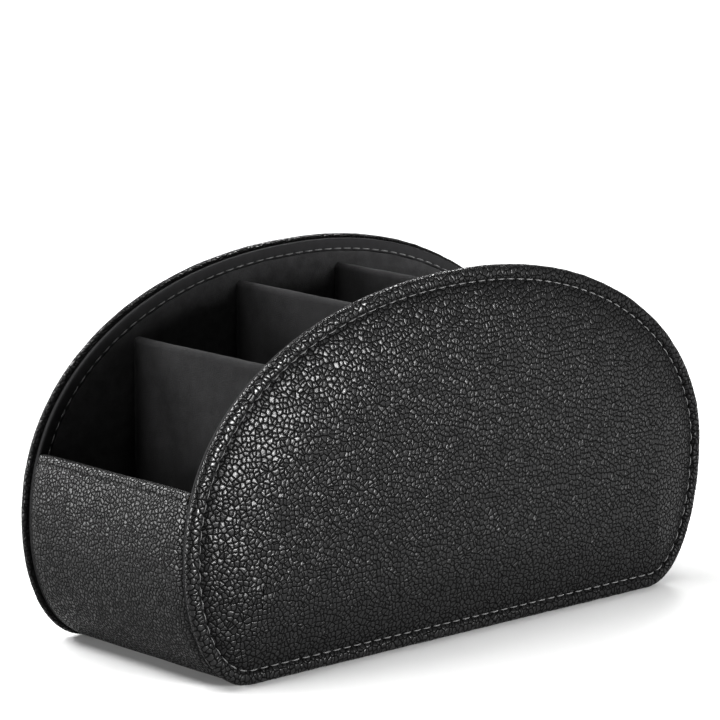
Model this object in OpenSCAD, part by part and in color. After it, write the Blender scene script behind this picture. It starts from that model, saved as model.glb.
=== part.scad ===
// Remote control holder: two padded side panels, one band of leather round the front, underside and back
// walls, and four felt dividers that make five pockets. The front is at -X, the table is z = 0.

/* [Overall] */
// Length from the front nose to the back nose
length = 240; // [210:1:320]
// Height of the side panels
height = 127; // [115:1:170]
// Width over the rolled edges of the two side panels
width = 89; // [60:1:140]

/* [Side outline] */
// Height of the front nose above the table
front_nose_h = 43; // [36:0.5:56]
// Height of the back nose above the table
back_nose_h = 50; // [36:0.5:60]
// Distance that the top of the arch lies behind the middle
peak_offset = 3.5; // [-15:0.5:15]
// Length of the curve under the front nose
front_heel = 27.5; // [24:0.5:34]
// Length of the curve under the back nose
back_heel = 26; // [24:0.5:34]
// Fullness of the front shoulder, where 2 is a plain ellipse
front_fullness = 2.2; // [2:0.05:2.5]
// Fullness of the back shoulder
back_fullness = 2.03; // [2:0.01:2.5]
// Fullness of the two heels
heel_fullness = 2.05; // [2:0.05:2.4]

/* [Side panels] */
// Thickness of the leather
leather_t = 0.8; // [0.6:0.1:1.2]
// Thickness of the board in a side panel
side_board_t = 1.6; // [1.2:0.1:3]
// Thickness of the foam where it meets the rolled edge
foam_edge_t = 0.4; // [0.35:0.05:0.8]
// Distance from the leather edge to the side board
side_board_inset = 1; // [0.8:0.1:1.6]
// Distance that the roundness of the rolled edge reaches inward
roll_round = 2.2; // [1.8:0.1:2.8]
// Distance from the edge to the row of stitches
stitch_inset = 5; // [4:0.5:5.5]
// Depth of the groove that the stitches pull into the leather
stitch_dip = 0.3; // [0.1:0.05:0.3]
// Height of the padded face above the rolled edge
crown = 3.2; // [1:0.1:5]
// Distance over which the padding rises from the stitches to its full height
pad_run = 16; // [10:1:17]
// Width of the leather turned in behind the board
hem_w = 10; // [8:0.5:14]
// Thickness of the facing on the inside of a side panel
facing_t = 1.6; // [1:0.1:2.5]
// Width of the smooth edging round the felt
edging_w = 4.4; // [3:0.1:5.6]

/* [Band and walls] */
// Distance that the band lies inside the outline of the side panels
band_inset = 0.6; // [0.4:0.1:1.5]
// Thickness of the boards in the walls and the floor
wall_board_t = 2.6; // [1.6:0.1:4]
// Height of the front wall
front_wall_h = 67; // [50:1:80]
// Height of the back wall
back_wall_h = 92; // [60:1:100]
// Depth that the band turns down inside a wall
flap_h = 9; // [5:0.5:15]
// Thickness of the felt that lines the walls, the floor and the dividers
felt_t = 0.8; // [0.5:0.1:1.5]
// Margin between the base pad and the edges of the underside
base_pad_margin = 4; // [2:0.5:10]

/* [Dividers] */
// Distance from the front nose to the middle of the first divider
first_pocket = 48; // [44:1:54]
// Distance from one divider to the next
divider_pitch = 46; // [36:1:48]
// Thickness of the board in a divider
divider_board_t = 2.4; // [1.6:0.1:4]
// Distance that the tops of the dividers lie inside the arch
divider_inset = 10; // [5:0.5:20]

/* [Hidden] */

$fn = 48;
// Steps along each quarter of the side outline
quarter_steps = 12;
// Steps round half of the rolled edge
roll_steps = 4;
// Steps up the padding
pad_steps = 5;

leather_colour = [0.13, 0.13, 0.14];
edging_colour = [0.09, 0.09, 0.09];
felt_colour = [0.05, 0.05, 0.05];
board_colour = [0.62, 0.56, 0.46];
foam_colour = [0.75, 0.75, 0.72];

peak_x = peak_offset;
front_heel_x = -length / 2 + front_heel;
back_heel_x = length / 2 - back_heel;
// Layers of a side panel, as depths behind the outer plane of the rolled edge
side_board_depth = leather_t + foam_edge_t;
hem_depth = side_board_depth + side_board_t;
roll_t = hem_depth + leather_t;
side_t = roll_t + facing_t;
band_w = width - 2 * roll_t;
inner_w = width - 2 * side_t;
// Layers of the walls, as distances inside the side outline
wall_board_inset = band_inset + leather_t;
wall_felt_inset = wall_board_inset + wall_board_t;
flap_inset = wall_felt_inset + leather_t;
wall_lining_inset = wall_felt_inset + felt_t;
floor_z = wall_lining_inset;
// The band lies on the outside of the edging, between the two rolled edges
felt_panel_inset = wall_board_inset + edging_w;
// The lip of a wall is half round: the radius of its board, and of the leather over it
lip_r = wall_board_t / 2;
lip_cover_r = lip_r + leather_t;
lip_inset = wall_board_inset + lip_r;
divider_t = divider_board_t + 2 * felt_t;

// A quarter of a superellipse with its centre at c and the reaches a and b, from angle t0 on
function quarter(c, a, b, n, t0, last) = [
    for (i = [0 : last])
        let (t = t0 + 90 * i / quarter_steps)
            [c.x + a * sign(cos(t)) * pow(abs(cos(t)), 2 / n), c.y + b * sign(sin(t)) * pow(abs(sin(t)), 2 / n)]
];

// The side outline at a distance inside the leather edge: back shoulder, front shoulder, front heel, back heel
function side_outline(inset) = concat(
    quarter([peak_x, back_nose_h], length / 2 - peak_x - inset, height - back_nose_h - inset,
        back_fullness, 0, quarter_steps - 1),
    quarter([peak_x, front_nose_h], length / 2 + peak_x - inset, height - front_nose_h - inset,
        front_fullness, 90, quarter_steps - 1),
    quarter([front_heel_x, front_nose_h], front_heel - inset, front_nose_h - inset,
        heel_fullness, 180, quarter_steps),
    quarter([back_heel_x, back_nose_h], back_heel - inset, back_nose_h - inset,
        heel_fullness, 270, quarter_steps - 1)
);

// The other reach of a quarter, as a share, at the share s along it
function arc_share(s, n) = pow(1 - pow(s, n), 1 / n);

// Height of the arch over the place x, at a distance inside the leather edge
function arch_z(x, inset) = x > peak_x
    ? back_nose_h + (height - back_nose_h - inset)
        * arc_share((x - peak_x) / (length / 2 - peak_x - inset), back_fullness)
    : front_nose_h + (height - front_nose_h - inset)
        * arc_share((peak_x - x) / (length / 2 + peak_x - inset), front_fullness);

// Where the middle of a lip is on a shoulder with the reaches a and b: [share of a, lean of the wall there]
function lip_place(rise, a, b, n) =
    let (up = max(0, rise) / b, out = arc_share(up, n))
        [out, atan(pow(up / out, n - 1) * a / b)];

front_reach = length / 2 + peak_x - lip_inset;
back_reach = length / 2 - peak_x - lip_inset;
front_lip_z = front_wall_h - lip_cover_r;
back_lip_z = back_wall_h - lip_cover_r;
front_place = lip_place(
    front_lip_z - front_nose_h, front_reach, height - front_nose_h - lip_inset, front_fullness);
back_place = lip_place(
    back_lip_z - back_nose_h, back_reach, height - back_nose_h - lip_inset, back_fullness);
front_lip = [peak_x - front_reach * front_place[0], front_lip_z];
back_lip = [peak_x + back_reach * back_place[0], back_lip_z];

// Rings [distance inside the edge, depth] of the rolled edge and of the padded face, from the back to the front
roll_rings = [
    for (i = [0 : 2 * roll_steps])
        let (t = 90 * i / roll_steps)
            [roll_round * (1 - sin(t)), roll_t / 2 * (1 + cos(t))]
];
face_rings = concat(
    [[stitch_inset, stitch_dip]],
    [
        for (i = [1 : pad_steps])
            let (s = i / pad_steps)
                [stitch_inset + pad_run * s, stitch_dip - (crown + stitch_dip) * sin(90 * s)]
    ]
);
// The same face on the underside of the leather, which the foam fills
foam_rings = concat(
    [[side_board_inset, side_board_depth], [roll_round, leather_t]],
    [for (ring = face_rings) [ring[0], ring[1] + leather_t]]
);
// The space in the cover for the foam and the board, open behind the board inside the hem
space_rings = concat(
    [[hem_w, roll_t + 1], [hem_w, hem_depth], [side_board_inset, hem_depth]],
    foam_rings
);

// A closed solid through rings of the side outline, from the deepest ring to the outermost one
module cushion(rings) {
    count = len(side_outline(0));
    last = len(rings) - 1;
    points = [
        for (ring = rings)
            for (p = side_outline(ring[0]))
                [p.x, ring[1] - width / 2, p.y]
    ];
    sides = [
        for (k = [0 : last - 1])
            for (j = [0 : count - 1])
                let (a = k * count + j, b = k * count + (j + 1) % count)
                    for (face = [[a, a + count, b], [b, a + count, b + count]])
                        face
    ];
    back = [for (j = [0 : count - 1]) j];
    front = [for (j = [count - 1 : -1 : 0]) last * count + j];
    polyhedron(points, concat([back], sides, [front]), convexity = 6);
}

// A flat outline in X and Z, drawn out along Y from y0 to y1
module along_y(y0, y1) {
    translate([0, y1, 0])
        rotate([90, 0, 0])
            linear_extrude(height = y1 - y0, convexity = 6)
                children();
}

// A layer of the right side panel between two depths
module side_layer(depth0, depth1) {
    along_y(depth0 - width / 2, depth1 - width / 2)
        children();
}

// The left side panel mirrors the right one
module left() {
    mirror([0, 1, 0])
        children();
}

module side_cover() {
    color(leather_colour)
        difference() {
            cushion(concat(roll_rings, face_rings));
            cushion(space_rings);
        }
}

module side_foam() {
    color(foam_colour)
        cushion(foam_rings);
}

module side_board() {
    color(board_colour)
        side_layer(side_board_depth, hem_depth)
            polygon(side_outline(side_board_inset));
}

module side_edging() {
    color(edging_colour)
        side_layer(roll_t, side_t)
            difference() {
                polygon(side_outline(wall_board_inset));
                polygon(side_outline(felt_panel_inset));
            }
}

// The felt panel fills the edging and drops behind the hem onto the board
module side_lining() {
    color(felt_colour)
        union() {
            side_layer(roll_t, side_t)
                polygon(side_outline(felt_panel_inset));
            side_layer(hem_depth, roll_t)
                polygon(side_outline(hem_w));
        }
}

// The outline between two distances inside the edge
module wall_ring(inset0, inset1) {
    difference() {
        polygon(side_outline(inset0));
        polygon(side_outline(inset1));
    }
}

// The front half of a section, below the lip, cut square to the wall there less a drop along the wall
module below_front_lip(drop) {
    intersection() {
        translate([peak_x - length, -height])
            square([length, 3 * height]);
        union() {
            translate(front_lip)
                rotate(-front_place[1])
                    translate([-length, -2 * height - drop])
                        square([2 * length, 2 * height]);
            translate([peak_x - length, -height])
                square([length, height + front_nose_h]);
        }
    }
}

// The same at the back
module below_back_lip(drop) {
    intersection() {
        translate([peak_x, -height])
            square([length, 3 * height]);
        union() {
            translate(back_lip)
                rotate(back_place[1])
                    translate([-length, -2 * height - drop])
                        square([2 * length, 2 * height]);
            translate([peak_x, -height])
                square([length, height + back_nose_h]);
        }
    }
}

module below_lips(drop) {
    below_front_lip(drop);
    below_back_lip(drop);
}

// A lip's round section, in flat facets that can lie against the facets of the walls
module lip(c, r) {
    polygon([for (i = [0 : $fn - 1]) c + r * [cos(360 * i / $fn), sin(360 * i / $fn)]]);
}

module lips(r) {
    lip(front_lip, r);
    lip(back_lip, r);
}

// The flat stretch of the underside between the two heels, where the floor lies
module flat_floor() {
    translate([front_heel_x, -height])
        square([back_heel_x - front_heel_x, height + min(front_nose_h, back_nose_h)]);
}

module front_wall_layer(inset0, inset1, drop) {
    difference() {
        intersection() {
            wall_ring(inset0, inset1);
            below_front_lip(drop);
        }
        flat_floor();
    }
}

module back_wall_layer(inset0, inset1, drop) {
    difference() {
        intersection() {
            wall_ring(inset0, inset1);
            below_back_lip(drop);
        }
        flat_floor();
    }
}

// The band between the two panels, with its lips and the flaps inside them
module band_section() {
    difference() {
        union() {
            intersection() {
                wall_ring(band_inset, flap_inset);
                below_lips(0);
            }
            lips(lip_cover_r);
        }
        intersection() {
            polygon(side_outline(wall_board_inset));
            below_lips(flap_h);
        }
        intersection() {
            wall_ring(wall_board_inset, wall_felt_inset);
            below_lips(0);
        }
        lips(lip_r);
    }
}

// One strip of leather: outside of both walls and the underside, over the lips and down inside them.
// Its outer face is wider than the walls and covers the edge of the edging.
module band_cover() {
    color(leather_colour)
        union() {
            along_y(-inner_w / 2, inner_w / 2)
                band_section();
            along_y(-band_w / 2, band_w / 2)
                difference() {
                    intersection() {
                        wall_ring(band_inset, wall_board_inset);
                        below_lips(0);
                    }
                    lips(lip_r);
                }
        }
}

module front_board() {
    color(board_colour)
        along_y(-inner_w / 2, inner_w / 2)
            union() {
                front_wall_layer(wall_board_inset, wall_felt_inset, 0);
                lip(front_lip, lip_r);
            }
}

module back_board() {
    color(board_colour)
        along_y(-inner_w / 2, inner_w / 2)
            union() {
                back_wall_layer(wall_board_inset, wall_felt_inset, 0);
                lip(back_lip, lip_r);
            }
}

module base_board() {
    color(board_colour)
        translate([front_heel_x, -inner_w / 2, wall_board_inset])
            cube([back_heel_x - front_heel_x, inner_w, wall_board_t]);
}

module front_lining() {
    color(felt_colour)
        along_y(-inner_w / 2, inner_w / 2)
            front_wall_layer(wall_felt_inset, wall_lining_inset, flap_h);
}

module back_lining() {
    color(felt_colour)
        along_y(-inner_w / 2, inner_w / 2)
            back_wall_layer(wall_felt_inset, wall_lining_inset, flap_h);
}

module floor_lining() {
    color(felt_colour)
        translate([front_heel_x, -inner_w / 2, wall_felt_inset])
            cube([back_heel_x - front_heel_x, inner_w, felt_t]);
}

// The pad under the band is flush with the bottom of the side panels, so the holder stands on it
module base_pad() {
    color(felt_colour)
        translate([front_heel_x + base_pad_margin, base_pad_margin - inner_w / 2, 0])
            cube([
                back_heel_x - front_heel_x - 2 * base_pad_margin,
                inner_w - 2 * base_pad_margin,
                band_inset
            ]);
}

// A sheet across the holder with a half round top, which stands on the floor felt
module divider_sheet(number, t) {
    x = first_pocket - length / 2 + (number - 1) * divider_pitch;
    round_z = arch_z(x, divider_inset) - divider_t / 2;
    along_y(-inner_w / 2, inner_w / 2)
        union() {
            translate([x - t / 2, floor_z])
                square([t, round_z - floor_z]);
            translate([x, round_z])
                circle(t / 2);
        }
}

module divider_board(number) {
    color(board_colour)
        divider_sheet(number, divider_board_t);
}

// Felt over both faces and the top of a divider's board
module divider_felt(number) {
    color(felt_colour)
        difference() {
            divider_sheet(number, divider_t);
            divider_sheet(number, divider_board_t);
        }
}

side_cover();  // right_side_cover
side_foam();  // right_side_foam
side_board();  // right_side_board
side_edging();  // right_side_edging
side_lining();  // right_side_lining
left() side_cover();  // left_side_cover
left() side_foam();  // left_side_foam
left() side_board();  // left_side_board
left() side_edging();  // left_side_edging
left() side_lining();  // left_side_lining
band_cover();
front_board();
base_board();
back_board();
front_lining();
floor_lining();
back_lining();
base_pad();
divider_board(1);  // divider_1_board
divider_felt(1);  // divider_1_felt
divider_board(2);  // divider_2_board
divider_felt(2);  // divider_2_felt
divider_board(3);  // divider_3_board
divider_felt(3);  // divider_3_felt
divider_board(4);  // divider_4_board
divider_felt(4);  // divider_4_felt
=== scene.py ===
"""A remote control holder: padded side panels of pebbled leather, a leather band for walls, felt inside.

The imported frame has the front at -X, the right side panel at -Y and the table at z = 0. Lengths are in metres.
"""

import math

import bmesh
import bpy
from mathutils import Matrix, Vector, noise


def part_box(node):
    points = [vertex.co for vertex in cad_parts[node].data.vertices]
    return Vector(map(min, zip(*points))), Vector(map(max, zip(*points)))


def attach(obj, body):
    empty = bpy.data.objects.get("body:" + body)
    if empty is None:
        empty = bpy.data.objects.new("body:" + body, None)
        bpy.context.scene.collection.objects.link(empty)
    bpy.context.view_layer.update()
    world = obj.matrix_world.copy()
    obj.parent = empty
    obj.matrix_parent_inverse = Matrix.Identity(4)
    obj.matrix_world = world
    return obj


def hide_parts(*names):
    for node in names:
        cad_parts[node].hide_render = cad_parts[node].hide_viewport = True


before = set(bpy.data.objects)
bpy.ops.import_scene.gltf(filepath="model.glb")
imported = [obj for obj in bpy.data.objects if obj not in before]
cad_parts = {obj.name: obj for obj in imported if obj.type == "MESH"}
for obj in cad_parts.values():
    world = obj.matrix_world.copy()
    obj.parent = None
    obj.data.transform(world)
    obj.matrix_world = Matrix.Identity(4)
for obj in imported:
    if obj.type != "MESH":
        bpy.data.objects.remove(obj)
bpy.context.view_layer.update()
mm = 0.001

# The boards stiffen the two side panels, the walls, the floor and the dividers. They are pressed grey board,
# cut flat, the two wall boards bent. Leather and felt hide them, so the frame's own shapes stay.
board_tone = (0.30, 0.26, 0.20, 1)
board_fleck_tone = (0.17, 0.15, 0.12, 1)
board_fleck_size = 1.4 * mm
board_names = ["front_board", "base_board", "back_board", "right_side_board", "left_side_board"]
board_names += [f"divider_{number}_board" for number in (1, 2, 3, 4)]


def finish(name, roughness, **sockets):
    """A new material: the material, its node tree and its shader."""
    made = bpy.data.materials.new(name)
    made.use_nodes = True
    shader = made.node_tree.nodes["Principled BSDF"]
    shader.inputs["Roughness"].default_value = roughness
    for socket, value in sockets.items():
        shader.inputs[socket.replace("_", " ")].default_value = value
    return made, made.node_tree, shader


def add(tree, kind, sockets=None, **settings):
    """A shader node with its settings and the values of its sockets."""
    made = tree.nodes.new("ShaderNode" + kind)
    for name, value in settings.items():
        setattr(made, name, value)
    for socket, value in (sockets or {}).items():
        made.inputs[socket].default_value = value
    return made


def join(tree, source, out, target, into):
    """Links an output of one node to an input of another."""
    tree.links.new(source.outputs[out], target.inputs[into])


def speckle(tree, place, size, detail=3.0, roughness=0.6):
    """Noise with blotches of a size, at the places that a node gives."""
    made = add(tree, "TexNoise", {"Scale": 1 / size, "Detail": detail, "Roughness": roughness})
    join(tree, place[0], place[1], made, "Vector")
    return made


def ramp(tree, source, out, *stops):
    """A smooth change from one grey or colour to the next: each stop is (where, grey or colour)."""
    made = add(tree, "ValToRGB")
    made.color_ramp.interpolation = "EASE"
    marks = made.color_ramp.elements
    while len(marks) < len(stops):
        marks.new(1.0)
    for mark, (where, tone) in zip(marks, stops):
        mark.position = where
        mark.color = tone if isinstance(tone, tuple) else (tone, tone, tone, 1)
    join(tree, source, out, made, "Fac")
    return made


def relief(tree, shader, source, out, depth):
    """Bump of a depth on a shader."""
    made = add(tree, "Bump", {"Strength": 1.0, "Distance": depth})
    join(tree, source, out, made, "Height")
    join(tree, made, "Normal", shader, "Normal")


grey_board, tree, shader = finish("grey_board", 0.9)
place = (add(tree, "TexCoord"), "Object")
flecks = speckle(tree, place, board_fleck_size)
tones = ramp(tree, flecks, "Fac", (0.35, board_fleck_tone), (0.6, board_tone))
join(tree, tones, "Color", shader, "Base Color")
relief(tree, shader, flecks, "Fac", 0.1 * mm)
for name in board_names:
    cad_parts[name].data.materials.clear()
    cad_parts[name].data.materials.append(grey_board)

# The foam is a crowned pad between the board and the leather of each side panel. It is soft open-cell foam,
# cut from sheet and glued to the board. The leather covers all of it.
foam_tone = (0.58, 0.57, 0.50, 1)
foam_pore_tone = (0.34, 0.33, 0.28, 1)
foam_pore_size = 0.9 * mm

foam, tree, shader = finish("open_cell_foam", 0.95)
place = (add(tree, "TexCoord"), "Object")
pores = add(tree, "TexVoronoi", {"Scale": 1 / foam_pore_size})
join(tree, *place, pores, "Vector")
# The pores are darker than the foam: painted shade in their hollows
tones = ramp(tree, pores, "Distance", (0.1, foam_pore_tone), (0.5, foam_tone))
join(tree, tones, "Color", shader, "Base Color")
relief(tree, shader, pores, "Distance", 0.2 * mm)
for name in ("right_side_foam", "left_side_foam"):
    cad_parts[name].data.materials.clear()
    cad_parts[name].data.materials.append(foam)

# Each side panel is covered by one sheet of pebbled faux leather. It is stretched over the foam, sewn down
# 5 mm inside the edge, rolled round the edge and turned in behind the board as a hem.
low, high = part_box("right_side_cover")
board_low, board_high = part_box("right_side_board")
lining_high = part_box("right_side_lining")[1]
foam_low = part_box("right_side_foam")[0]
length = high.x - low.x
height = high.z
peak_x = 3.5 * mm
front_nose_z = 43 * mm
back_nose_z = 50 * mm
front_heel = 27.5 * mm
back_heel = 26 * mm
front_fullness = 2.2
back_fullness = 2.03
heel_fullness = 2.05
leather_t = 0.8 * mm
roll_back_y = high.y
board_front_y = board_low.y
board_back_y = board_high.y
panel_front_y = board_front_y - 1.2 * mm
roll_round = 3.2 * mm
roll_back_round = 2.2 * mm
roll_bulge = 0.45 * mm
roll_steps = 12
unrolled_r = 2.3 * mm
roll_ripple = 0.12 * mm
roll_ripple_size = 5 * mm
board_inset = 1 * mm
stitch_inset = 5 * mm
stitch_dip = 0.7 * mm
seam_leather_t = 0.45 * mm
crown = panel_front_y - low.y
pad_run = 29 * mm
slope_rise = crown + 1.4 * mm
middle_rise = 0.7 * mm
hem_w = 10 * mm
hem_lap = 9 * mm
stitches_round = 130
steps_a_stitch = 8
hole_dip = 0.2 * mm
hole_groove_w = 0.5 * mm
pucker = 0.05 * mm
pucker_w = 1.6 * mm
swell = 0.35 * mm
swell_size = 34 * mm
ripple = 0.12 * mm
ripple_size = 9 * mm
face_middle = Vector((peak_x, 62 * mm))
# Shares of the cover's reflection: painted highlight on the roll, painted shade on the roll's inner half, in the
# seam valley and near the back edge
plain_gloss = 0.4
roll_inner_painted_shade = 0.8
seam_painted_shade = 0.95
seam_shade_w = 2.1 * mm
back_painted_shade = 0.7
sway_size = 2.2
sway_reach = 0.9
wrinkle_size = 0.52
wrinkle_h = 0.12
wrinkle_shade = 0.18
pebble_lean = 2.6
grit_size = 0.25 * mm
grit_h = 0.08
front_heel_x = front_heel - length / 2
back_heel_x = length / 2 - back_heel
quarters = {
    0: (peak_x, back_nose_z, length / 2 - peak_x, height - back_nose_z, back_fullness),
    1: (peak_x, front_nose_z, length / 2 + peak_x, height - front_nose_z, front_fullness),
    2: (front_heel_x, front_nose_z, front_heel, front_nose_z, heel_fullness),
    4: (back_heel_x, back_nose_z, back_heel, back_nose_z, heel_fullness),
}
right_angles = {0: 0, 1: 1, 2: 2, 4: 3}


def edge_point(turn, inset):
    """The place (x, z) on the side outline at a distance inside its edge. Turn goes from 0 at the back nose
    over the peak (1), the front nose (2), the heels (3 and 4) and back to the back nose (5)."""
    part = int(turn) % 5
    share = turn - int(turn)
    if part == 3:
        return Vector((front_heel_x + (back_heel_x - front_heel_x) * share, inset))
    x, z, reach_x, reach_z, fullness = quarters[part]
    angle = math.pi / 2 * (right_angles[part] + share)
    along_x = math.copysign(abs(math.cos(angle)) ** (2 / fullness), math.cos(angle))
    along_z = math.copysign(abs(math.sin(angle)) ** (2 / fullness), math.sin(angle))
    return Vector((x + (reach_x - inset) * along_x, z + (reach_z - inset) * along_z))


def even_turns(inset, count, first=0.0, last=5.0):
    """Turns that cut the outline at a distance inside its edge into equal lengths, without the last one."""
    fine = [first + (last - first) * i / 6000 for i in range(6001)]
    places = [edge_point(turn, inset) for turn in fine]
    reach = [0.0]
    for one, other in zip(places, places[1:]):
        reach.append(reach[-1] + (other - one).length)
    turns = []
    i = 0
    for number in range(count):
        goal = reach[-1] * number / count
        while reach[i + 1] < goal:
            i += 1
        share = (goal - reach[i]) / (reach[i + 1] - reach[i])
        turns.append(fine[i] + share * (fine[i + 1] - fine[i]))
    return turns


def outward(turn, inset):
    """The direction (x, z) that points out of the side outline."""
    along = edge_point((turn + 0.002) % 5, inset) - edge_point((turn - 0.002) % 5, inset)
    return Vector((along.y, -along.x)).normalized()


def ease(share):
    """A smooth step: 0 up to a share of 0, 1 from a share of 1 on."""
    share = min(1.0, max(0.0, share))
    return share * share * (3 - 2 * share)


def loops_round(turns, rings, place):
    """Loops round the outline, each extruded from the one before. place(number, turn, ring) is a corner's place.
    Gives the bmesh and each loop's corners in order."""
    bm = bmesh.new()
    bm.verts.layers.float.new("painted_highlight_shade")
    station = bm.verts.layers.int.new("station")
    loop = bmesh.ops.create_circle(bm, segments=len(turns), radius=1.0)["verts"]
    for number, corner in enumerate(loop):
        corner[station] = number
    edges = list(bm.edges)
    loops = [loop]
    for _ in rings[1:]:
        grown = bmesh.ops.extrude_edge_only(bm, edges=edges)["geom"]
        corners = {part for part in grown if isinstance(part, bmesh.types.BMVert)}
        edges = [part for part in grown if isinstance(part, bmesh.types.BMEdge) and set(part.verts) <= corners]
        loops.append(sorted(corners, key=lambda corner: corner[station]))
    for ring, loop in zip(rings, loops):
        for number, (corner, turn) in enumerate(zip(loop, turns)):
            corner.co = place(number, turn, ring)
    return bm, loops


def lay_flat(bm, flat):
    """Gives the mesh the UV map of a flat pattern: a place in metres for each corner."""
    pattern = bm.loops.layers.uv.new("flat")
    for face in bm.faces:
        for loop in face.loops:
            loop[pattern].uv = flat[loop.vert]


def piece(bm, name, material, slot, *stands_for):
    """A finished mesh as a piece of the holder, in place of the nodes that it stands for."""
    if not any(edge.is_boundary for edge in bm.edges):
        bmesh.ops.recalc_face_normals(bm, faces=bm.faces)
    for face in bm.faces:
        face.smooth = True
    mesh = bpy.data.meshes.new(name)
    bm.to_mesh(mesh)
    bm.free()
    mesh.materials.append(material)
    made = bpy.data.objects.new(name, mesh)
    bpy.context.collection.objects.link(made)
    if stands_for:
        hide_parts(*stands_for)
    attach(made, "root")
    return made


def thicken(sheet, wall):
    """Gives an open sheet its thickness, inward from its face."""
    shell = sheet.modifiers.new("thickness", "SOLIDIFY")
    shell.thickness = wall
    shell.offset = -1
    shell.use_even_offset = True


def hole(number):
    """How close a corner is to a needle hole, from 0 to 1."""
    return max(0.0, math.cos(2 * math.pi * number / steps_a_stitch)) ** 3


def seam_dip(number, off):
    """How deep the stitches pull the leather in, at a distance off their row."""
    groove = math.exp(-((off / hole_groove_w) ** 2)) * hole_dip * hole(number)
    fold = math.exp(-abs(off) / pucker_w) * pucker * math.cos(2 * math.pi * number / steps_a_stitch)
    return groove + fold


def face_y(inset, inward):
    """Depth of the padded face. Inward goes from 0 at the end of the padding's slope to 1 in the middle."""
    if inset < stitch_inset:
        down = max(0.0, (inset - roll_round) / (stitch_inset - roll_round)) ** 2
        return panel_front_y - roll_bulge + (roll_bulge + stitch_dip) * down
    slope = min(1.0, (inset - stitch_inset) / pad_run)
    rise = (slope_rise + stitch_dip) * math.sin(math.pi / 2 * slope) ** 0.95
    return panel_front_y + stitch_dip - rise - middle_rise * math.sin(math.pi / 2 * inward)


def unevenness(x, z, size, seed):
    return noise.noise(Vector((x / size, z / size, seed)))


# Each ring: (inset, depth or None for the padded face, share of the way in to the middle, flat inset)
roll_half_t = (roll_back_y - panel_front_y + roll_bulge) / 2
roll_rings = []
for step in range(roll_steps + 1):
    angle = math.pi * step / roll_steps
    round_in = roll_back_round if step < roll_steps / 2 else roll_round
    unrolled = (1 - step / roll_steps) * math.pi * unrolled_r
    roll_rings.append((
        round_in * (1 - math.sin(angle)),
        roll_back_y - roll_half_t * (1 - math.cos(angle)),
        0.0,
        roll_round - unrolled,
    ))
face_insets = [
    3.6, 4.0, 4.2, 4.4, 4.65, 4.85, 5, 5.15, 5.35, 5.6, 5.95, 6.4, 7, 7.8, 8.8, 10,
    11.4, 13, 14.8, 17, 19.5, 22.2, 25, 28, 31, 34,
]
face_rings = [(inset * mm, None, 0.0, inset * mm) for inset in face_insets]
inner_inset = face_insets[-1] * mm
middle_rings = [(inner_inset, None, inward, inner_inset) for inward in (0.1, 0.22, 0.36, 0.52, 0.7, 0.86, 0.97)]
underside_rings = [
    (inner_inset, foam_low.y, 0.9, inner_inset),
    (inner_inset, foam_low.y, 0.4, inner_inset),
    (21 * mm, foam_low.y, 0.0, 21 * mm),
    (stitch_inset + 8 * mm, foam_low.y + crown * 0.35, 0.0, stitch_inset + 8 * mm),
    (stitch_inset, panel_front_y + stitch_dip + seam_leather_t, 0.0, stitch_inset),
    (2.6 * mm, panel_front_y + leather_t, 0.0, 2.6 * mm),
    (board_inset, board_front_y, 0.0, board_inset),
    (board_inset, board_back_y, 0.0, board_inset),
    (hem_w, board_back_y, 0.0, hem_w),
]
hem_rings = [(hem_w, roll_back_y, 0.0, -hem_lap), (hem_w / 2, roll_back_y, 0.0, -6.5 * mm)]
cover_rings = underside_rings + hem_rings + roll_rings + face_rings + middle_rings
cover_turns = even_turns(stitch_inset, stitches_round * steps_a_stitch)


def cover_flat(turn, ring):
    """Where a corner of the cover lies on the flat leather."""
    spot = edge_point(turn, ring[3])
    return spot + (face_middle - spot) * ring[2]


def cover_place(number, turn, ring):
    inset, depth, inward, _ = ring
    edge = edge_point(turn, inset)
    if inset < roll_round:
        edge += outward(turn, inset) * roll_ripple * unevenness(edge.x, edge.y, roll_ripple_size, 7.7)
    spot = edge + (face_middle - edge) * inward
    if depth is None:
        depth = face_y(inset, inward) + seam_dip(number, inset - stitch_inset) * (inward == 0)
        loose = min(1.0, max(0.0, (inset - stitch_inset) / (6 * mm)))
        depth += loose * swell * unevenness(spot.x, spot.y, swell_size, 3.1)
        depth += loose * ripple * unevenness(spot.x, spot.y, ripple_size, 5.3)
    return Vector((spot.x, depth, max(0.0, spot.y)))


def times_plus(tree, source, out, factor, other, other_out):
    """One value times a factor plus another value."""
    made = add(tree, "Math", {1: factor}, operation="MULTIPLY_ADD")
    join(tree, source, out, made, 0)
    join(tree, other, other_out, made, 2)
    return made


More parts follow.
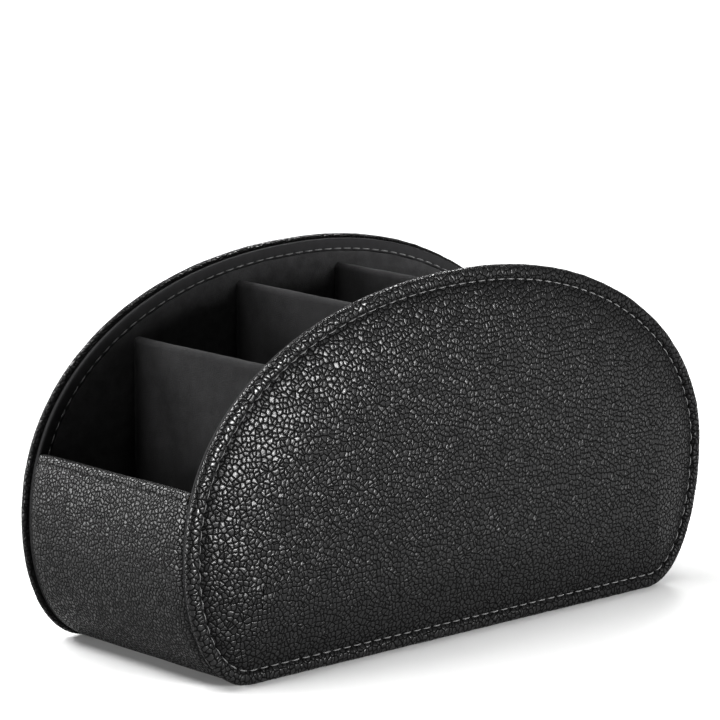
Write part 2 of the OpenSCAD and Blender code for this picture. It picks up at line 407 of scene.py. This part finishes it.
def leather(name, cell, depth, crease_w, top_tone, crease_tone, roughness, polish):
    """Pebbled faux leather on a flat pattern: pebbles of a size, gently domed, between narrow creases that are
    darkened in colour and in reflection as painted shade. Its polish is the shine at its fullest, and the mesh
    gives the share of it that each corner has, which paints highlight and shade into the reflection."""
    made, tree, shader = finish(name, roughness, Specular_IOR_Level=polish)
    flat = add(tree, "UVMap", uv_map="flat")
    sway = speckle(tree, (flat, "UV"), cell * sway_size, 2.0)
    spread = add(tree, "VectorMath", {1: (0.5, 0.5, 0.5)}, operation="SUBTRACT")
    join(tree, sway, "Color", spread, 0)
    swayed = add(tree, "VectorMath", {1: (cell * sway_reach,) * 3}, operation="MULTIPLY_ADD")
    join(tree, spread, "Vector", swayed, 0)
    join(tree, flat, "UV", swayed, 2)
    edges = []
    for size in (cell, cell * wrinkle_size):
        cells = add(tree, "TexVoronoi", {"Scale": 1 / size}, feature="DISTANCE_TO_EDGE", voronoi_dimensions="2D")
        join(tree, swayed, "Vector", cells, "Vector")
        edges.append(cells)
    dome = ramp(tree, edges[0], "Distance", (0.0, 0.0), (0.13, 0.48), (0.26, 0.85), (0.42, 1.0))
    bed = ramp(tree, edges[0], "Distance", (0.1 * crease_w, 0.0), (0.5 * crease_w, 0.5), (crease_w, 1.0))
    wrinkles = ramp(tree, edges[1], "Distance", (0.0, 0.0), (0.2, 0.8), (0.45, 1.0))
    # Every pebble leans its own way, so that some catch the light and others do not
    whole = add(tree, "TexVoronoi", {"Scale": 1 / cell}, feature="F1", voronoi_dimensions="2D")
    join(tree, swayed, "Vector", whole, "Vector")
    way = add(tree, "VectorMath", {1: (0.5, 0.5, 0.5)}, operation="SUBTRACT")
    join(tree, whole, "Color", way, 0)
    from_middle = add(tree, "VectorMath", operation="SUBTRACT")
    join(tree, swayed, "Vector", from_middle, 0)
    join(tree, whole, "Position", from_middle, 1)
    lean = add(tree, "VectorMath", operation="DOT_PRODUCT")
    join(tree, way, "Vector", lean, 0)
    join(tree, from_middle, "Vector", lean, 1)
    wrinkled = times_plus(tree, wrinkles, "Color", wrinkle_h, dome, "Color")
    leaning = times_plus(tree, lean, "Value", pebble_lean / cell, wrinkled, "Value")
    grit = speckle(tree, (flat, "UV"), grit_size, 2.0)
    heights = times_plus(tree, grit, "Fac", grit_h, leaning, "Value")
    relief(tree, shader, heights, "Value", depth)
    # Painted shade in the creases: this mask darkens the colour and takes the reflection away there
    wear_and_crease_shade = times_plus(tree, wrinkles, "Color", wrinkle_shade, bed, "Color")
    tones = ramp(tree, wear_and_crease_shade, "Value", (0.25, crease_tone), (0.9, top_tone))
    join(tree, tones, "Color", shader, "Base Color")
    shade = ramp(tree, wear_and_crease_shade, "Value", (0.1, 0.0), (0.9, 1.0))
    painted_highlight_shade = add(tree, "Attribute", attribute_name="painted_highlight_shade")
    tint = add(tree, "Math", operation="MULTIPLY")
    join(tree, shade, "Color", tint, 0)
    join(tree, painted_highlight_shade, "Fac", tint, 1)
    join(tree, tint, "Value", shader, "Specular Tint")
    dullness = ramp(tree, wear_and_crease_shade, "Value", (0.2, min(1.0, roughness + 0.5)), (0.9, roughness))
    join(tree, dullness, "Color", shader, "Roughness")
    return made


side_leather = leather(
    "pebbled_leather", 1.75 * mm, 0.15 * mm, 0.3, (0.004, 0.004, 0.0041, 1), (0.0006, 0.0006, 0.0006, 1),
    0.26, 0.2
)


def mirror_side(bm):
    """Turns a piece of the right side panel into the left one's."""
    bmesh.ops.scale(bm, vec=(1, -1, 1), verts=bm.verts)
    bmesh.ops.reverse_faces(bm, faces=bm.faces)


right_bm, loops = loops_round(cover_turns, cover_rings, cover_place)
flat = {}
for ring, loop in zip(cover_rings, loops):
    for corner, turn in zip(loop, cover_turns):
        flat[corner] = cover_flat(turn, ring)
for loop in (loops[0], loops[-1]):
    middle = sum((corner.co for corner in loop), Vector()) / len(loop)
    rim = set(loop)
    edges = [edge for edge in right_bm.edges if edge.is_boundary and edge.verts[0] in rim]
    cap = bmesh.ops.contextual_create(right_bm, geom=edges)["faces"]
    pole = bmesh.ops.poke(right_bm, faces=cap)["verts"][0]
    flat[pole] = Vector((middle.x, middle.z))
lay_flat(right_bm, flat)
# The shares of reflection paint light and shade into the leather, matched to the light and dark parts of the
# photograph: a painted highlight on the outer edge and front of the roll that fades towards the back, and painted
# shade on the roll's inner half, in the seam valley and near the edge towards the back
painted_highlight_shade = right_bm.verts.layers.float["painted_highlight_shade"]
for ring, loop in zip(cover_rings, loops):
    angle = 180 * roll_rings.index(ring) / roll_steps if ring in roll_rings else 180
    painted_highlight = ease((angle - 60) / 25) * ease((172 - angle) / 30)
    painted_shade = roll_inner_painted_shade * ease((75 - angle) / 20)
    if ring in face_rings:
        painted_shade = seam_painted_shade * math.exp(-(((ring[0] - stitch_inset - 0.5 * mm) / seam_shade_w) ** 2))
    for corner in loop:
        back = ease((corner.co.x + 20 * mm) / (90 * mm))
        back_shade = back_painted_shade * back * ease((14 * mm - ring[0]) / (10 * mm))
        corner[painted_highlight_shade] = plain_gloss * (1 - max(painted_shade, back_shade)) + (1 - plain_gloss) * painted_highlight * (1 - back)
left_bm = right_bm.copy()
mirror_side(left_bm)
left_painted_highlight_shade = left_bm.verts.layers.float["painted_highlight_shade"]
# The left panel keeps its painted shade but not the painted highlight on its roll
for corner in left_bm.verts:
    corner[left_painted_highlight_shade] = min(corner[left_painted_highlight_shade], plain_gloss)
for side, bm in (("right", right_bm), ("left", left_bm)):
    cover = piece(bm, f"{side}_padded_cover", side_leather, "side_leather", f"{side}_side_cover")

# A strip of smooth edging is glued round the inside of each side panel, over the hem. It hides the join of
# leather and felt, and the inner row of stitches runs along it.
edging_in, edging_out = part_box("right_side_edging")
edging_inset = edging_in.x - low.x
edging_w = 4.4 * mm
edging_round = 0.7 * mm
edging_top_y = edging_out.y
edging_tone = (0.007, 0.007, 0.0073, 1)
edging_dark_tone = (0.004, 0.004, 0.0042, 1)

edging_cloth, tree, shader = finish("satin_edging", 0.7, Specular_IOR_Level=0.06)
place = (add(tree, "TexCoord"), "Object")
drag = speckle(tree, place, 2.5 * mm)
fine = speckle(tree, place, 0.18 * mm)
tones = ramp(tree, drag, "Fac", (0.3, edging_dark_tone), (0.7, edging_tone))
join(tree, tones, "Color", shader, "Base Color")
dullness = ramp(tree, drag, "Fac", (0.3, 0.64), (0.7, 0.78))
join(tree, dullness, "Color", shader, "Roughness")
relief(tree, shader, fine, "Fac", 0.03 * mm)

edging_rings = [(edging_inset + edging_w, edging_in.y), (edging_inset, edging_in.y)]
for step in range(5):
    angle = math.pi / 8 * step
    edging_rings.append((
        edging_inset + edging_round * (1 - math.cos(angle)),
        edging_top_y - edging_round * (1 - math.sin(angle)),
    ))
for inset in (3, 4, 4.4, 4.65, 4.85, 5, 5.15, 5.35):
    edging_rings.append((inset * mm, edging_top_y))
edging_rings.append((edging_inset + edging_w, edging_top_y - 0.1 * mm))


def edging_place(number, turn, ring):
    inset, depth = ring
    edge = edge_point(turn, inset)
    if inset > 2 * mm and depth > edging_top_y - 0.2 * mm:
        depth -= seam_dip(number, inset - stitch_inset)
    return Vector((edge.x, depth, edge.y))


right_bm, loops = loops_round(cover_turns, edging_rings, edging_place)
bmesh.ops.bridge_loops(right_bm, edges=[edge for edge in right_bm.edges if edge.is_boundary])
left_bm = right_bm.copy()
mirror_side(left_bm)
for side, bm in (("right", right_bm), ("left", left_bm)):
    piece(bm, f"{side}_inner_edging", edging_cloth, "edging", f"{side}_side_edging")

# Two rows of lockstitch hold each side panel together: one on the padded face and one inside on the edging.
# The thread is grey twisted polyester. Each stitch dives into a needle hole at both ends.
thread_t = 0.44 * mm
stitch_share = 0.8
stitch_sag = 0.42 * mm
thread_tone = (0.022, 0.022, 0.022, 1)
thread_dark_tone = (0.009, 0.009, 0.009, 1)

thread, tree, shader = finish("grey_thread", 0.6, Sheen_Weight=0.2, Specular_IOR_Level=0.25)
place = (add(tree, "TexCoord"), "Object")
fibres = speckle(tree, place, 0.3 * mm)
tones = ramp(tree, fibres, "Fac", (0.35, thread_dark_tone), (0.6, thread_tone))
join(tree, tones, "Color", shader, "Base Color")
relief(tree, shader, fibres, "Fac", 0.08 * mm)

stitch_turns = even_turns(stitch_inset, 2 * stitches_round)[1::2]
stitch_pitch = (edge_point(stitch_turns[1], stitch_inset) - edge_point(stitch_turns[0], stitch_inset)).length


def stitch_row(side, name, leather_y, out):
    """A row of stitches on a surface at a depth, which faces out = -1 outward or 1 inward."""
    bm = bmesh.new()
    for turn in stitch_turns:
        spot = edge_point(turn, stitch_inset)
        normal = outward(turn, stitch_inset)
        along = Vector((-normal.y, 0, normal.x))
        across = Vector((normal.x, 0, normal.y))
        centre = Vector((spot.x, leather_y + out * thread_t * 0.3, spot.y))
        grown = bmesh.ops.create_uvsphere(bm, u_segments=8, v_segments=7, radius=0.5)["verts"]
        for corner in grown:
            far = 2 * corner.co.z
            bow = out * stitch_sag * (0.25 - far * far)
            corner.co = (
                centre
                + along * corner.co.z * stitch_pitch * stitch_share
                + across * corner.co.x * thread_t
                + Vector((0, corner.co.y * thread_t + bow, 0))
            )
    if side == "left":
        mirror_side(bm)
    piece(bm, f"{side}_{name}", thread, "thread")


for side in ("right", "left"):
    stitch_row(side, "face_stitches", panel_front_y + stitch_dip, -1)
    stitch_row(side, "inner_stitches", edging_top_y, 1)

# Black felt lines the panels, the walls and the floor. It is needled wool-like felt, cut to size and glued
# to the boards, and the frame's own flat shapes are right for it.
felt_names = ["right_side_lining", "left_side_lining", "front_lining", "back_lining", "floor_lining"]


def felt(name, tone, dark_tone, nap):
    """Short-napped felt: blotches where the nap lies differently, and fine fibres."""
    made, tree, shader = finish(name, 0.95, Sheen_Weight=nap, Sheen_Roughness=0.5, Specular_IOR_Level=0.1)
    place = (add(tree, "TexCoord"), "Object")
    blotches = speckle(tree, place, 5 * mm, 5.0, 0.7)
    fibres = speckle(tree, place, 0.35 * mm, 3.0, 0.7)
    both = add(tree, "Math", {1: 0.5}, operation="MULTIPLY_ADD")
    join(tree, fibres, "Fac", both, 0)
    join(tree, blotches, "Fac", both, 2)
    tones = ramp(tree, both, "Value", (0.55, dark_tone), (0.95, tone))
    join(tree, tones, "Color", shader, "Base Color")
    relief(tree, shader, fibres, "Fac", 0.25 * mm)
    return made


lining_felt = felt("black_felt", (0.016, 0.016, 0.0164, 1), (0.009, 0.009, 0.0092, 1), 0.015)
for name in felt_names:
    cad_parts[name].data.materials.clear()
    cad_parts[name].data.materials.append(lining_felt)

# The band is one strip of finer, duller leather round the front wall, the underside and the back wall. It is
# folded over both lips and glued down inside them, and its edges round off into the grooves by the rolls.
band_low, band_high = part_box("band_cover")
band_half_w = band_high.y
inner_half_w = -lining_high.y
band_inset = band_low.x - low.x
flap_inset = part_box("floor_lining")[1].z
flap_h = 9 * mm
band_edge_round = 6 * mm
band_edge_drop = 1.9 * mm
# Painted highlight along the band's rounded edges, painted shade in the grooves by the rolls and towards the
# bottom
band_highlight_in = 2.9 * mm
band_highlight_w = 2.4 * mm
band_plain_gloss = 0.24
band_painted_highlight = 0.8
band_groove_painted_shade = 0.95
heel_shaded_reflection = 0.15
heel_h = 40 * mm
tuck_clearance = 0.05 * mm
board_cover_t = 0.2 * mm
flap_steps = 5
lip_steps = 12
lip_groove = 0.45 * mm
lip_groove_down = 1.7 * mm
lip_groove_w = 0.9 * mm
fine_steps = 24
lip_edge_drop = 0.5 * mm
band_widening = 3 * mm
front_wall_z = 67 * mm
back_wall_z = band_high.z
lip_r = (flap_inset - band_inset) / 2
lip_inset = band_inset + lip_r
band_steps_in = [0, 0.12, 0.35, 0.7, 1.2, 1.9, 2.7, 3.6, 4.6, 6, 8, 11, 15, 20, 26, 32, 38]


def turn_at(z, inset, low_turn, high_turn):
    """The turn between two others where the outline passes a height."""
    rising = edge_point(high_turn, inset).y > edge_point(low_turn, inset).y
    for _ in range(40):
        middle = (low_turn + high_turn) / 2
        if (edge_point(middle, inset).y > z) == rising:
            high_turn = middle
        else:
            low_turn = middle
    return middle


def turn_below(turn, down, inset):
    """The turn at a distance down the wall from another one. Down is negative towards lower turns."""
    rate = (edge_point(turn + 0.01, inset) - edge_point(turn, inset)).length / 0.01
    return turn + down / rate


front_turn = turn_at(front_wall_z - lip_r, lip_inset, 1.001, 1.999)
back_turn = turn_at(back_wall_z - lip_r, lip_inset, 0.001, 0.999)

# The section of the band from the back flap to the front flap: (place, way out of the leather, on the outside)
section = []
for step in range(flap_steps):
    turn = turn_below(back_turn, -flap_h * (1 - step / flap_steps), flap_inset)
    section.append((edge_point(turn, flap_inset), -outward(turn, flap_inset), 0))
centre = edge_point(back_turn, lip_inset)
out = outward(back_turn, lip_inset)
for step in range(lip_steps + 1):
    angle = math.pi * step / lip_steps
    way = -out * math.cos(angle) + Vector((-out.y, out.x)) * math.sin(angle)
    section.append((centre + way * lip_r, way, 0))
down_turns = even_turns(band_inset, 1000, front_turn, 5 + back_turn)[::-1]
for step, turn in enumerate(down_turns[:-1]):
    if step < fine_steps or step >= len(down_turns) - fine_steps or step % 4 == 0:
        section.append((edge_point(turn, band_inset), outward(turn, band_inset), 1))
centre = edge_point(front_turn, lip_inset)
out = outward(front_turn, lip_inset)
for step in range(lip_steps + 1):
    angle = math.pi * step / lip_steps
    way = out * math.cos(angle) + Vector((out.y, -out.x)) * math.sin(angle)
    section.append((centre + way * lip_r, way, 0))
for step in range(1, flap_steps + 1):
    turn = turn_below(front_turn, flap_h * step / flap_steps, flap_inset)
    section.append((edge_point(turn, flap_inset), -outward(turn, flap_inset), 0))

reach = [0.0]
for one, other in zip(section, section[1:]):
    reach.append(reach[-1] + (other[0] - one[0]).length)
back_lip_reach = reach[flap_steps + lip_steps]
front_lip_reach = reach[-(flap_steps + lip_steps + 1)]


def bent_sheet(along, across, place):
    """A flat grid bent to shape: place(i, j) gives a corner's place and its place on the flat pattern."""
    bm = bmesh.new()
    bm.verts.layers.float.new("painted_highlight_shade")
    bmesh.ops.create_grid(bm, x_segments=along, y_segments=across, size=0.5)
    flat = {}
    for corner in bm.verts:
        i = round((corner.co.x + 0.5) * along)
        j = round((corner.co.y + 0.5) * across)
        corner.co, flat[corner] = place(i, j)
    lay_flat(bm, flat)
    return bm


def band_place(i, j):
    spot, way, outside = section[i]
    last = len(band_steps_in) - 1
    step_in = band_steps_in[min(j, 2 * last + 1 - j)] * mm
    from_lip = min(reach[i] - back_lip_reach, front_lip_reach - reach[i])
    wide = ease(from_lip / band_widening)
    half_w = inner_half_w + (band_half_w - inner_half_w) * wide
    y = (step_in - half_w) if j <= last else (half_w - step_in)
    down = max(0.0, 1 - step_in / band_edge_round)
    drop = (lip_edge_drop + (band_edge_drop - lip_edge_drop) * wide) * (1 - math.sqrt(1 - down * down))
    loose = 0.16 * mm * unevenness(reach[i], y, 22 * mm, 9.4) + 0.05 * mm * unevenness(reach[i], y, 5 * mm, 2.2)
    groove = outside * lip_groove * math.exp(-(((from_lip - lip_groove_down) / lip_groove_w) ** 2))
    sunk = drop + groove
    if abs(y) < inner_half_w + tuck_clearance:
        sunk = min(sunk, leather_t - board_cover_t)
    spot = spot + way * (loose - sunk)
    return Vector((spot.x, y, spot.y)), Vector((reach[i], y))


band_leather = leather(
    "fine_leather", 1.5 * mm, 0.15 * mm, 0.38, (0.002, 0.002, 0.0021, 1), (0.0004, 0.0004, 0.0004, 1),
    0.31, 0.3
)
bm = bent_sheet(len(section) - 1, 2 * len(band_steps_in) - 1, band_place)
painted_highlight_shade = bm.verts.layers.float["painted_highlight_shade"]
# The share of reflection paints a highlight along each rounded edge, shade in the groove at each edge, and shade
# that grows darker towards the bottom
for corner in bm.verts:
    step_in = band_half_w - abs(corner.co.y)
    painted_highlight = band_painted_highlight * ease(1 - abs(step_in - band_highlight_in) / band_highlight_w)
    painted_shade = band_groove_painted_shade * ease(1.6 - step_in / mm)
    heel = heel_shaded_reflection + (1 - heel_shaded_reflection) * ease(corner.co.z / heel_h)
    corner[painted_highlight_shade] = heel * (band_plain_gloss * (1 - painted_shade) + (1 - band_plain_gloss) * painted_highlight)
band = piece(bm, "leather_band", band_leather, "band_leather", "band_cover")
thicken(band, leather_t)

# Four dividers stand across the holder. Each is a stiff board with felt folded over it, glued between the side
# panels. Their felt is a little darker than the lining, with a soft worn fold along the top.
divider_felt = felt("divider_felt", (0.006, 0.006, 0.0063, 1), (0.0025, 0.0025, 0.0026, 1), 0.03)
divider_felt_t = 0.8 * mm
divider_steps_up = 40
divider_steps_over = 12
divider_steps_across = 52


def folded_felt(number):
    """A divider's felt: up one side of its board, over the top and down the other."""
    felt_low, felt_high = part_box(f"divider_{number}_felt")
    centre_x = (felt_low.x + felt_high.x) / 2
    fold_r = (felt_high.x - felt_low.x) / 2
    fold_z = felt_high.z - fold_r
    up = [felt_low.z + (fold_z - felt_low.z) * step / divider_steps_up for step in range(divider_steps_up)]
    fold = [math.pi * step / divider_steps_over for step in range(divider_steps_over + 1)]
    sides = [(centre_x - fold_r, z, -1, 0) for z in up]
    sides += [
        (centre_x - fold_r * math.cos(angle), fold_z + fold_r * math.sin(angle), -math.cos(angle), math.sin(angle))
        for angle in fold
    ]
    sides += [(centre_x + fold_r, z, 1, 0) for z in reversed(up)]

    def place(i, j):
        x, z, way_x, way_z = sides[i]
        y = inner_half_w * (2 * j / divider_steps_across - 1)
        wear_and_crease_shade = 0.10 * mm * unevenness(y, z, 2.5 * mm, number) + 0.18 * mm * unevenness(y, z, 14 * mm, -number)
        wear_and_crease_shade *= ease((z - felt_low.z) / (20 * mm))
        distance = z if i < len(sides) / 2 else 2 * felt_high.z - z
        return Vector((x + way_x * wear_and_crease_shade, y, z + way_z * wear_and_crease_shade)), Vector((distance, y))

    return bent_sheet(len(sides) - 1, divider_steps_across, place)


for number in (1, 2, 3, 4):
    bm = folded_felt(number)
    divider = piece(bm, f"divider_{number}_folded_felt", divider_felt, "felt", f"divider_{number}_felt")
    thicken(divider, divider_felt_t)

# The base pad is a thin sheet of rubbery cloth under the holder, with rounded corners. Rows of small rubber
# dots on it grip the table, and it is glued to the band.
pad_low, pad_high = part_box("base_pad")
dot_h = 0.15 * mm
dot_r = 0.9 * mm
dot_pitch = 6 * mm
pad_corner_r = 5 * mm
pad_edge_r = 0.12 * mm
pad_tone = (0.018, 0.018, 0.018, 1)
pad_light_tone = (0.035, 0.035, 0.036, 1)

pad_cloth, tree, shader = finish("rubbery_cloth", 0.8)
place = (add(tree, "TexCoord"), "Object")
weave = add(tree, "TexWave", {"Scale": 160.0, "Distortion": 1.5}, bands_direction="DIAGONAL")
join(tree, *place, weave, "Vector")
tones = ramp(tree, weave, "Fac", (0.2, pad_tone), (0.8, pad_light_tone))
join(tree, tones, "Color", shader, "Base Color")
relief(tree, shader, weave, "Fac", 0.06 * mm)

bm = bmesh.new()
size = pad_high - pad_low
bmesh.ops.create_cube(bm, size=1.0)
bmesh.ops.scale(bm, vec=(size.x, size.y, size.z - dot_h), verts=bm.verts)
bmesh.ops.translate(bm, vec=(pad_low + pad_high) / 2 + Vector((0, 0, dot_h / 2)), verts=bm.verts)
uprights = [edge for edge in bm.edges if abs(edge.verts[0].co.z - edge.verts[1].co.z) > dot_h]
bmesh.ops.bevel(bm, geom=uprights, offset=pad_corner_r, affect="EDGES", segments=8, profile=0.5, material=-1)
rims = [edge for edge in bm.edges if len({face.normal.z > 0.9 for face in edge.link_faces}) == 2]
bmesh.ops.bevel(bm, geom=rims, offset=pad_edge_r, affect="EDGES", segments=2, profile=0.5, material=-1)
columns = int((size.x - 2 * pad_corner_r) / dot_pitch)
rows = int((size.y - 2 * pad_corner_r) / dot_pitch)
for column in range(columns + 1):
    for row in range(rows + 1):
        spot = Vector((
            (pad_low.x + pad_high.x) / 2 + (column - columns / 2) * dot_pitch,
            (row - rows / 2) * dot_pitch,
            dot_h,
        ))
        dome = Matrix.Translation(spot) @ Matrix.Diagonal((dot_r, dot_r, dot_h, 1))
        bmesh.ops.create_uvsphere(bm, u_segments=8, v_segments=4, radius=1.0, matrix=dome)
piece(bm, "dotted_base_pad", pad_cloth, "base_pad", "base_pad")

# The holder stands on a plain pale floor that runs out of view, under soft white studio light: a lamp box far
# to the right, two smaller ones beyond the left front corner, and four far lamps overhead. The room is dim, with
# a backdrop that fades upward from the floor.
floor_tone = (0.26, 0.26, 0.26, 1)
floor_patch_tone = (0.25, 0.25, 0.25, 1)
backdrop_brightness = 0.9
room_brightness = 0.14
picture_gamma = 0.85

floor_paint, tree, shader = finish("pale_floor", 0.7)
place = (add(tree, "TexCoord"), "Object")
patches = speckle(tree, place, 0.4)
tones = ramp(tree, patches, "Fac", (0.3, floor_patch_tone), (0.7, floor_tone))
join(tree, tones, "Color", shader, "Base Color")
bm = bmesh.new()
bmesh.ops.create_grid(bm, x_segments=4, y_segments=4, size=4.0)
mesh = bpy.data.meshes.new("floor")
bm.to_mesh(mesh)
bm.free()
mesh.materials.append(floor_paint)
floor = bpy.data.objects.new("floor", mesh)
bpy.context.collection.objects.link(floor)


def far_lamp(name, towards, width, power):
    """A soft lamp far off in a direction, as wide as an angle in degrees."""
    lamp = bpy.data.lights.new(name, "SUN")
    lamp.angle = math.radians(width)
    lamp.energy = power
    made = bpy.data.objects.new(name, lamp)
    bpy.context.collection.objects.link(made)
    made.rotation_euler = Vector(towards).to_track_quat("Z", "Y").to_euler()


def lamp_box(name, spot, aim, width, tall, brightness):
    """A lamp box at a spot that faces another, as bright per area as given."""
    lamp = bpy.data.lights.new(name, "AREA")
    lamp.shape = "RECTANGLE"
    lamp.size = width
    lamp.size_y = tall
    lamp.energy = brightness * math.pi * width * tall
    made = bpy.data.objects.new(name, lamp)
    bpy.context.collection.objects.link(made)
    made.location = spot
    made.rotation_euler = (Vector(spot) - Vector(aim)).to_track_quat("Z", "Y").to_euler()
    return made


right_lamp = lamp_box("right_lamp", (0.25, -1.2, 0.2), (0, 0, 0.2), 0.46, 0.38, 195)
lamp_box("front_lamp", (-0.82, 0.66, 0.2), (-0.1, 0, 0.06), 0.42, 0.3, 48)
lamp_box("left_lamp", (-1.15, 0.3, 0.22), (-0.1, 0, 0.1), 0.34, 0.28, 55)
far_lamp("left_top_lamp", (-0.47, 0.16, 0.87), 24, 6.0)
far_lamp("top_lamp", (0.1, -0.1, 0.99), 15, 3.0)
far_lamp("right_top_lamp", (0.62, 0.45, 0.62), 18, 2.6)
far_lamp("back_top_lamp", (-0.2, 0.75, 0.6), 30, 8.0)

# Light linking keeps the right lamp off the band and the left panel's cover: seen from behind, they mirror it
# at a flat angle as a white patch
shaded = bpy.data.collections.new("shaded_from_right_lamp")
for name in ("leather_band", "left_padded_cover"):
    shaded.objects.link(bpy.data.objects[name])
for shaded_piece in shaded.collection_objects:
    shaded_piece.light_linking.link_state = "EXCLUDE"
right_lamp.light_linking.receiver_collection = shaded

world = bpy.data.worlds.new("pale_room")
bpy.context.scene.world = world
world.use_nodes = True
tree = world.node_tree
direction = add(tree, "TexCoord")
rise = add(tree, "SeparateXYZ")
join(tree, direction, "Generated", rise, "Vector")
glow = ramp(tree, rise, "Z", (0.04, backdrop_brightness), (0.14, 0.5), (0.3, room_brightness))
join(tree, glow, "Color", tree.nodes["Background"], "Color")
bpy.context.scene.view_settings.view_transform = "Standard"
bpy.context.scene.view_settings.gamma = picture_gamma

# The camera stands about 1.4 m off, to the front and right of the holder and a little above it, as for a
# catalogue picture.
camera_azimuth = math.radians(-42.21)
camera_elevation = math.radians(11.35)
camera_spot = (-0.9000, -0.9860, 0.3573)
camera_lens_mm = 196.7

lens = bpy.data.cameras.new("camera")
lens.lens = camera_lens_mm
lens.sensor_width = 36
camera = bpy.data.objects.new("camera", lens)
bpy.context.collection.objects.link(camera)
camera.location = camera_spot
camera.rotation_euler = (math.pi / 2 - camera_elevation, 0, camera_azimuth)
bpy.context.scene.camera = camera
